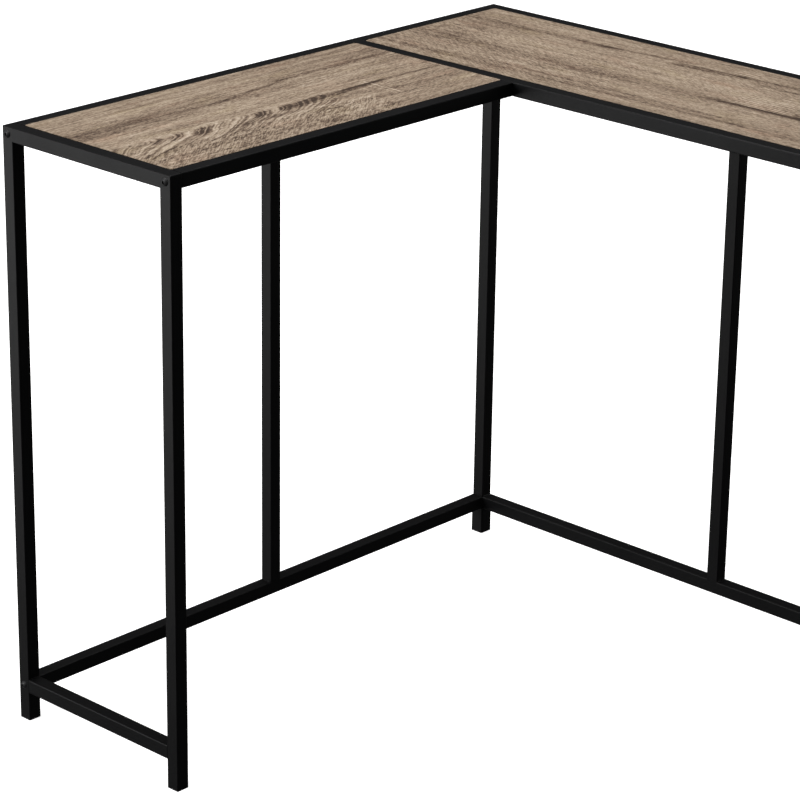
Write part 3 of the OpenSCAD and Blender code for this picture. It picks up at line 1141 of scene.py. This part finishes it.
@dataclass
class Boards:
    """The two laminate boards, dressed in their own figure of the same oak print."""

    ease: float = 0.5 * MM
    ease_segments: int = 2
    sharp_degrees: float = 50.0
    merge_distance: float = 0.005 * MM

    def build(self) -> None:
        """Dresses and eases both boards."""
        finishes = {"left_board": self.left_finish(), "right_board": self.right_finish()}
        for node, finish in finishes.items():
            dress(node, finish.material())
            self.ease_edges(bpy.data.objects[node])

    def left_finish(self) -> OakLaminate:
        """Lays out the left board's figure: a row of flame tips near its open side.

        Returns:
            The finish.
        """
        low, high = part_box("left_board")
        return OakLaminate(
            name="oak_laminate", corner=Vector((low.x, low.y, high.z)),
            along=Axis.Y, along_sign=1.0, across=Axis.X, across_sign=1.0,
            size_mm=((high.y - low.y) / MM, (high.x - low.x) / MM), seed=2.0,
            streaks=(
                Streak(-60, 90, 94, 16, 0.24, 0, 150), Streak(-20, 110, 84, 2.5, 0.35, 0, 80),
                Streak(-20, 150, 93, 2.5, 0.35, -2, 80), Streak(-20, 60, 104, 4, 0.4, 0, 50),
                Streak(0, 240, 78, 4, 0.5, -2, 60), Streak(240, 380, 92, 4, 0.6, -22, 30),
                Streak(370, 640, 68, 4, 0.8, -3, 40), Streak(40, 400, 124, 13, -0.40, -4),
                Streak(0, 260, 32, 26, -0.2, 0), Streak(520, 640, 38, 14, 0.3, 6),
                Streak(300, 470, 158, 3, 0.6, 0, 30), Streak(440, 640, 158, 3, 0.8, 2, 20),
                Streak(420, 520, 214, 5, 0.5, 14, 40), Streak(250, 420, 172, 4, 0.5, -10, 40),
                Streak(120, 330, 198, 5, 0.4, -22, 40),
            ),
            saw_patches=(
                SawPatch(375, 530, 94, 110), SawPatch(446, 452, 152, 212, 1.6, 9.0),
                SawPatch(60, 130, 20, 34, 0.5), SawPatch(470, 560, 176, 190, 0.6),
            ),
            dash_patches=(
                DashPatch(-20, 400, 210, 290, -0.72, 0.9, 22.0),
                DashPatch(-20, 600, 60, 290, -0.45, 0.3),
                DashPatch(400, 600, 190, 290, -0.3, 0.3),
            ),
            flames=(Flame(10, 350, 158, 40, hearts=(
                Heart(66, 168, 11, 8, 0.7), Heart(98, 169, 12, 9, 0.9),
                Heart(144, 171, 15, 12, 1.25), Heart(176, 169, 11, 10, 0.75),
                Heart(250, 168, 14, 11, 1.1), Heart(290, 167, 13, 9, 0.9),
                Heart(330, 166, 28, 9, 1.15), Heart(410, 164, 46, 7, 0.8),
            )),),
        )

    def right_finish(self) -> OakLaminate:
        """Lays out the right board's figure: quieter bands, long streaks and one knot.

        Returns:
            The finish.
        """
        low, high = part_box("right_board")
        return OakLaminate(
            name="oak_laminate_right", banding=0.62, corner=Vector((low.x, high.y, high.z)),
            along=Axis.X, along_sign=1.0, across=Axis.Y, across_sign=-1.0,
            size_mm=((high.x - low.x) / MM, (high.y - low.y) / MM), seed=41.0,
            streaks=(
                Streak(-40, 255, 58, 7, 0.8, -4, 40), Streak(255, 380, 52, 3, 0.9, -12, 30),
                Streak(380, 480, 56, 7, 1.1, -8, 20), Streak(480, 720, 45, 4, 1.0, -9, 40),
                Streak(520, 640, 62, 4, 0.9, 0, 30), Streak(0, 500, 165, 16, 0.4, -6, 80),
                Streak(0, 300, 90, 20, 0.2, 0, 80), Streak(100, 500, 30, 14, -0.3, 0),
                Streak(0, 900, 240, 4, 0.5, -4, 60), Streak(300, 700, 200, 18, -0.2, 0, 80),
                Streak(540, 660, 162, 3, 1.0, -2, 20), Streak(180, 360, 122, 4, 0.5, -6, 60),
                Streak(200, 560, 220, 3, 0.5, 4, 60), Streak(720, 900, 110, 9, 0.7, -14, 40),
                Streak(150, 560, 98, 44, -0.34, 10, 90),
            ),
            saw_patches=(
                SawPatch(150, 200, 28, 66, 0.7), SawPatch(460, 492, 18, 52, 1.2, 6.5),
                SawPatch(545, 625, 115, 160, 1.1, 6.5), SawPatch(185, 235, 168, 220, 0.8),
            ),
            dash_patches=(
                DashPatch(20, 360, 110, 260, 0.6, 0.45), DashPatch(400, 640, 60, 140, 0.55, 0.4),
                DashPatch(-20, 900, -20, 290, 0.5, 0.22), DashPatch(330, 720, 170, 260, -0.3, 0.3),
                DashPatch(760, 900, 60, 200, -0.35, 0.5),
            ),
            knots=(Knot(675, 143, 34, 20, 150),),
        )

    def ease_edges(self, board: bpy.types.Object) -> None:
        """Eases a board's edges with modifiers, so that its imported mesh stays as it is.

        Args:
            board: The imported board.
        """
        weld = board.modifiers.new("join", "WELD")
        weld.merge_threshold = self.merge_distance
        bevel = board.modifiers.new("ease", "BEVEL")
        bevel.width = self.ease
        bevel.segments = self.ease_segments
        bevel.limit_method = "ANGLE"
        bevel.angle_limit = math.radians(self.sharp_degrees)


@dataclass
class Hardware:
    """Bolts, screws, inserts and feet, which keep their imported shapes."""

    def build(self) -> None:
        """Dresses each kind of hardware in its own finish."""
        black = PlatedSteel(
            "black_bolt_steel", colour=linear(40, 40, 42), stain=linear(52, 51, 50),
            roughness=0.5, metallic=0.0,
        )
        zinc = PlatedSteel(
            "zinc_plated_steel", colour=linear(196, 198, 202), stain=linear(164, 162, 150),
            roughness=0.3, metallic=1.0,
        )
        boot = MouldedPlastic(
            "boot_plastic", colour=linear(6, 6, 7), roughness=0.5, scuffed=linear(22, 22, 22))
        groups = (
            (black, ("left_end_bolts", "right_end_bolts", "corner_post_bolts",
                     "cross_rail_bolt", "inner_corner_bolt")),
            (zinc, ("left_board_screws", "right_board_screws", "left_rail_inserts",
                    "right_rail_inserts")),
            (MouldedPlastic(), ("leg_feet",)),
            (boot, ("corner_boot",)),
        )
        for finish, nodes in groups:
            material = finish.material()
            for node in nodes:
                dress(node, material)


# -------- studio


@dataclass
class Camera:
    """The camera, at the height and side from which the desk is seen."""

    place: Vector = field(default_factory=lambda: Vector((2.497, -2.901, 1.899)))
    aim: Vector = field(default_factory=lambda: Vector((-0.109, -0.101, 0.448)))
    roll_degrees: float = 0.857
    lens_mm: float = 143.3
    sensor_mm: float = 36.0
    farthest: float = 200.0

    def build(self) -> None:
        """Makes the camera and sets it as the scene's."""
        data = bpy.data.cameras.new("camera")
        data.lens = self.lens_mm
        data.sensor_width = self.sensor_mm
        data.clip_end = self.farthest
        camera = bpy.data.objects.new("camera", data)
        ahead = (self.aim - self.place).normalized()
        level = ahead.cross(Axis.Z.vector).normalized()
        upright = level.cross(ahead)
        roll = math.radians(self.roll_degrees)
        right = level * math.cos(roll) + upright * math.sin(roll)
        above = right.cross(ahead)
        turn = Matrix((right, above, -ahead)).transposed().to_4x4()
        camera.matrix_world = Matrix.Translation(self.place) @ turn
        bpy.context.scene.collection.objects.link(camera)
        bpy.context.scene.camera = camera


@dataclass(frozen=True)
class SoftLight:
    """A square soft light."""

    name: str
    place: tuple[float, float, float]
    size: float
    power: float
    glossy: bool = True
    aim: tuple[float, float, float] = (0.0, 0.0, 0.5)

    def build(self) -> None:
        """Makes the light and points it at the desk."""
        data = bpy.data.lights.new(self.name, "AREA")
        data.size = self.size
        data.energy = self.power
        light = bpy.data.objects.new(self.name, data)
        light.location = self.place
        ahead = Vector(self.aim) - light.location
        light.rotation_euler = ahead.to_track_quat("-Z", "Y").to_euler()
        light.visible_camera = False
        light.visible_glossy = self.glossy
        bpy.context.scene.collection.objects.link(light)


@dataclass
class Studio:
    """A plain pale room: a floor that runs up into a dome, soft lights and dim fill."""

    radius: float = 14.0
    height: float = 11.0
    bend: float = 3.85
    bend_steps: int = 10
    turn_steps: int = 64
    grey: Colour = (0.82, 0.82, 0.82)
    matt: float = 0.9
    glow: float = 0.96
    mottle: float = 0.004
    mottles_per_metre: float = 3.0
    fill: float = 0.03
    lights: tuple[SoftLight, ...] = (
        SoftLight("key", (-2.6, -5.2, 2.4), 2.6, 175.0),
        SoftLight("overhead", (-0.6, 0.2, 5.0), 3.4, 224.0),
        SoftLight("sheen", (-2.9, -3.1, 0.1), 2.0, 30.0),
        SoftLight("back", (2.5, 5.8, 2.0), 2.6, 45.0),
        SoftLight("bounce", (0.0, 0.0, -2.6), 1.6, 60.0, glossy=False),
    )

    def build(self) -> None:
        """Builds the room, the lights and the world."""
        self.build_room()
        for light in self.lights:
            light.build()
        world = bpy.data.worlds.new("fill")
        world.use_nodes = True
        background = world.node_tree.nodes["Background"]
        background.inputs["Color"].default_value = (1.0, 1.0, 1.0, 1.0)
        background.inputs["Strength"].default_value = self.fill
        bpy.context.scene.world = world
        bpy.context.scene.view_settings.view_transform = "Standard"

    def build_room(self) -> None:
        """Builds the floor and the dome round it as one surface."""
        flat = self.radius - self.bend
        outline = [Vector((0.0, 0.0, 0.0)), Vector((flat, 0.0, 0.0))]
        for i in range(1, self.bend_steps + 1):
            angle = math.pi / 2 * i / self.bend_steps
            out = flat + self.bend * math.sin(angle)
            outline.append(Vector((out, 0.0, self.bend - self.bend * math.cos(angle))))
        outline.append(Vector((self.radius, 0.0, self.height)))
        outline.append(Vector((0.0, 0.0, self.height)))
        mesh = bmesh.new()
        verts = [mesh.verts.new(point) for point in outline]
        edges = [mesh.edges.new(pair) for pair in zip(verts, verts[1:])]
        bmesh.ops.spin(mesh, geom=verts + edges, axis=(0, 0, 1), cent=(0, 0, 0),
                       steps=self.turn_steps, angle=2 * math.pi, use_merge=True)
        bmesh.ops.remove_doubles(mesh, verts=mesh.verts, dist=0.01 * MM)
        bmesh.ops.recalc_face_normals(mesh, faces=mesh.faces)
        middle = Vector((0.0, 0.0, self.height / 2))
        outward = [
            face for face in mesh.faces
            if face.normal.dot(face.calc_center_median() - middle) > 0
        ]
        bmesh.ops.reverse_faces(mesh, faces=outward)
        data = bpy.data.meshes.new("room")
        mesh.to_mesh(data)
        mesh.free()
        data.materials.append(self.paint())
        room = bpy.data.objects.new("room", data)
        bpy.context.scene.collection.objects.link(room)
        room.visible_diffuse = False
        room.visible_glossy = False
        room.visible_shadow = False

    def paint(self) -> bpy.types.Material:
        """Makes pale paint that glows, so that the floor and walls stay even and shadows faint.

        Returns:
            The material, which is clear from behind.
        """
        s = Shader("room_paint")
        tone = s.even_noise(s.place(), self.mottles_per_metre) * self.mottle + self.glow
        paint = s.node("BsdfDiffuse", Color=self.grey, Roughness=self.matt)
        glow = s.node("Emission", Color=s.vector(tone, tone, tone), Strength=1.0)
        lit = s.node("AddShader", _0=paint.outputs[0], _1=glow.outputs[0])
        clear = s.node("BsdfTransparent")
        behind = s.node("NewGeometry").outputs["Backfacing"]
        return s.finish(s.node("MixShader", _0=behind, _1=lit.outputs[0], _2=clear.outputs[0]))


def main() -> None:
    """Builds the desk's looks and the studio."""
    logging.basicConfig(level=logging.INFO, format="%(name)s: %(message)s")
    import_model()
    Camera().build()
    Frame(PowderCoat().material()).build()
    Boards().build()
    Hardware().build()
    Studio().build()


if __name__ == "__main__":
    main()
